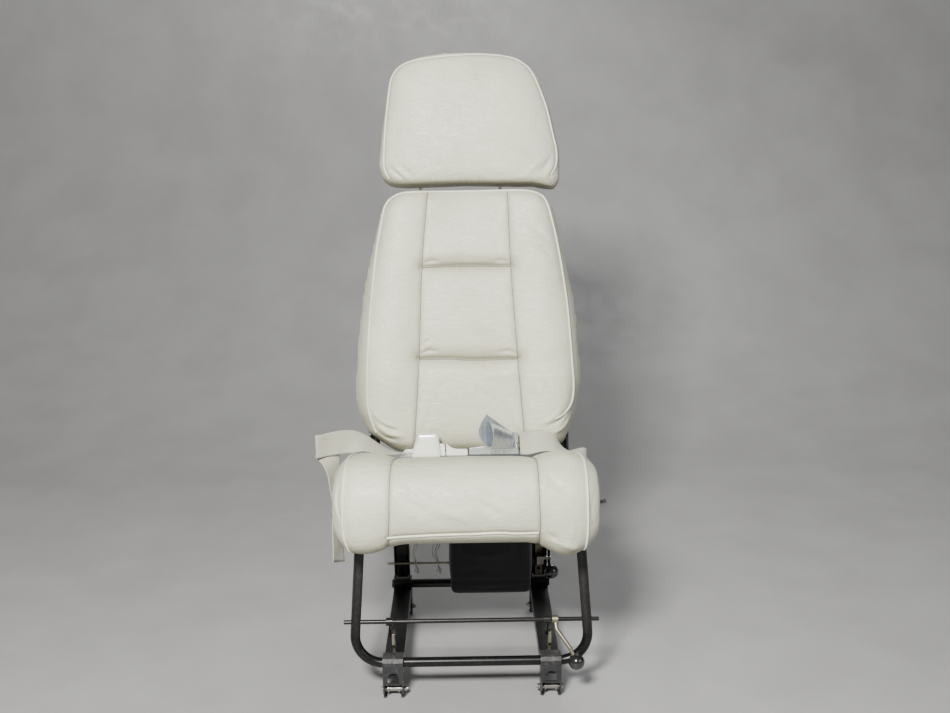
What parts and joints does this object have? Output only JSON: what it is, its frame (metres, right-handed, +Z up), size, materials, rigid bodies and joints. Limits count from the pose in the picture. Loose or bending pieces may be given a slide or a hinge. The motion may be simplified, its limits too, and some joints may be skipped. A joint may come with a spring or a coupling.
{
  "type": "aircraft crew seat",
  "caption": "Crew seat on a roller base: tilting tube frame, soft seat, reclining back with sliding headrest, lap belts and release levers.",
  "frame": {"origin": "middle of the bounding box at the feet", "axes": "+Z up, the seat faces -Y, +X to the right of a viewer in front of it"},
  "size_m": [0.5986, 0.7088, 1.2433],
  "materials": {
    "aluminium": "plain sheet",
    "black_ball": "glossy black",
    "black_fabric": "matt black",
    "black_paint": "satin black paint, worn at the edges",
    "bright_cover": "bright, slightly cloudy",
    "bright_steel": "bright plated steel",
    "cotton": "twisted cotton",
    "cream_leather": "soft grained cream",
    "cream_webbing": "woven webbing",
    "grey_back_panel": "grained moulding",
    "olive_plating": "dull olive plating",
    "satin_steel": "satin, cool tone, fine brush lines",
    "worn_grey_paint": "scuffed dark grey paint"
  },
  "bodies": {
    "base": {"base_rail_left": "black_paint", "base_rail_right": "black_paint", "rear_cross_tube": "black_paint", "rear_upright_left": "black_paint", "rear_upright_right": "black_paint", "front_roller_housing_left": "worn_grey_paint", "front_roller_housing_right": "worn_grey_paint", "rear_roller_housing_left": "black_paint", "rear_roller_housing_right": "black_paint", "front_axle_bolt_left": "bright_steel", "front_axle_bolt_right": "bright_steel", "rear_axle_bolt_left": "bright_steel", "rear_axle_bolt_right": "bright_steel"},
    "seat": {"front_hoop": "black_paint", "pan_side_tube_left": "black_paint", "pan_side_tube_right": "black_paint", "pan_front_tube": "black_paint", "pan_rear_tube": "black_paint", "seat_pan": "aluminium", "rear_leg_left": "black_paint", "rear_leg_right": "black_paint", "height_strip": "olive_plating", "tie_rod": "olive_plating", "cover_tie_left": "cotton", "cover_tie_right": "cotton", "stowage_pouch": "black_fabric", "recline_bracket_left": "black_paint", "recline_bracket_right": "black_paint", "hinge_bolt_left": "bright_steel", "hinge_bolt_right": "bright_steel", "seat_cushion": "cream_leather", "belt_left_webbing": "cream_webbing", "belt_right_webbing": "cream_webbing", "belt_adjuster": "bright_cover", "belt_tongue": "bright_steel", "buckle_body": "bright_steel"},
    "back": {"back_frame": "black_paint", "back_hinge_left": "black_paint", "back_hinge_right": "black_paint", "back_cushion": "cream_leather", "back_panel": "grey_back_panel", "headrest_guides": "bright_steel"},
    "headrest": {"headrest_posts": "bright_steel", "headrest_cushion": "cream_leather"},
    "release": {"release_rod": "black_paint", "release_crank_left": "black_paint", "release_crank_right": "black_paint", "release_lever": "olive_plating", "release_knob": "black_ball"},
    "lock_pawl_left": {"lock_pawl_left": "olive_plating"},
    "lock_pawl_right": {"lock_pawl_right": "olive_plating"},
    "height_lever": {"height_lever": "black_paint", "height_knob": "black_ball"},
    "height_pin": {"height_pin": "bright_steel"},
    "recline_lever": {"recline_lever": "bright_steel"},
    "buckle_cover": {"buckle_cover": "satin_steel"},
    "front_roller_left": {"front_roller_left": "bright_steel"},
    "front_roller_right": {"front_roller_right": "bright_steel"},
    "rear_roller_left": {"rear_roller_left": "bright_steel"},
    "rear_roller_right": {"rear_roller_right": "bright_steel"}
  },
  "joints": [
    {"name": "front_roller_left_spin", "type": "hinge", "parent": "base", "child": "front_roller_left", "pos_m": [-0.12309, -0.25332, 0.0155], "axis": [1, 0, 0], "continuous": true},
    {"name": "front_roller_right_spin", "type": "hinge", "parent": "base", "child": "front_roller_right", "pos_m": [0.18171, -0.25332, 0.0155], "axis": [1, 0, 0], "continuous": true},
    {"name": "rear_roller_left_spin", "type": "hinge", "parent": "base", "child": "rear_roller_left", "pos_m": [-0.12309, 0.13168, 0.0155], "axis": [1, 0, 0], "continuous": true},
    {"name": "rear_roller_right_spin", "type": "hinge", "parent": "base", "child": "rear_roller_right", "pos_m": [0.18171, 0.13168, 0.0155], "axis": [1, 0, 0], "continuous": true},
    {"name": "seat_tilt", "type": "hinge", "parent": "base", "child": "seat", "pos_m": [0.02931, -0.25332, 0.07], "axis": [1, 0, 0], "range_deg": [0, 3.9]},
    {"name": "track_release", "type": "hinge", "parent": "seat", "child": "release", "pos_m": [0.02931, -0.24676, 0.152], "axis": [-1, 0, 0], "range_deg": [0, 20], "stiffness_Nm_per_rad": 1, "springref_deg": -11.46},
    {"name": "lock_pawl_left_lift", "type": "hinge", "parent": "base", "child": "lock_pawl_left", "pos_m": [-0.12309, -0.21332, 0.0565], "axis": [1, 0, 0], "range_deg": [0, 15]},
    {"name": "lock_pawl_right_lift", "type": "hinge", "parent": "base", "child": "lock_pawl_right", "pos_m": [0.18171, -0.21332, 0.0565], "axis": [1, 0, 0], "range_deg": [0, 15]},
    {"name": "height_lever_pull", "type": "hinge", "parent": "base", "child": "height_lever", "pos_m": [0.20321, 0.11927, 0.17218], "axis": [-1, 0, 0], "range_deg": [0, 10], "stiffness_Nm_per_rad": 0.5, "springref_deg": -11.46},
    {"name": "height_pin_pull", "type": "slide", "parent": "base", "child": "height_pin", "axis": [0, -0.9877, -0.1564], "range_m": [0, 0.0057]},
    {"name": "recline_lever_lift", "type": "hinge", "parent": "seat", "child": "recline_lever", "pos_m": [0.26531, 0.10268, 0.296], "axis": [-1, 0, 0], "range_deg": [0, 15], "stiffness_Nm_per_rad": 1, "springref_deg": -11.46},
    {"name": "back_recline", "type": "hinge", "parent": "seat", "child": "back", "pos_m": [0.02931, 0.13168, 0.327], "axis": [-1, 0, 0], "range_deg": [0, 20]},
    {"name": "headrest_height", "type": "slide", "parent": "back", "child": "headrest", "axis": [0, 0.2079, 0.9781], "range_m": [-0.014, 0.06]},
    {"name": "buckle_cover_lift", "type": "hinge", "parent": "seat", "child": "buckle_cover", "pos_m": [0.12131, 0.06218, 0.4215], "axis": [0, 0, 1], "range_deg": [-30, 40]}
  ],
  "couplings": [
    {"joint": "lock_pawl_left_lift", "follows": "track_release", "ratio": 0.75},
    {"joint": "lock_pawl_right_lift", "follows": "track_release", "ratio": 0.75},
    {"joint": "height_pin_pull", "follows": "height_lever_pull", "m_per_rad": 0.0322}
  ]
}
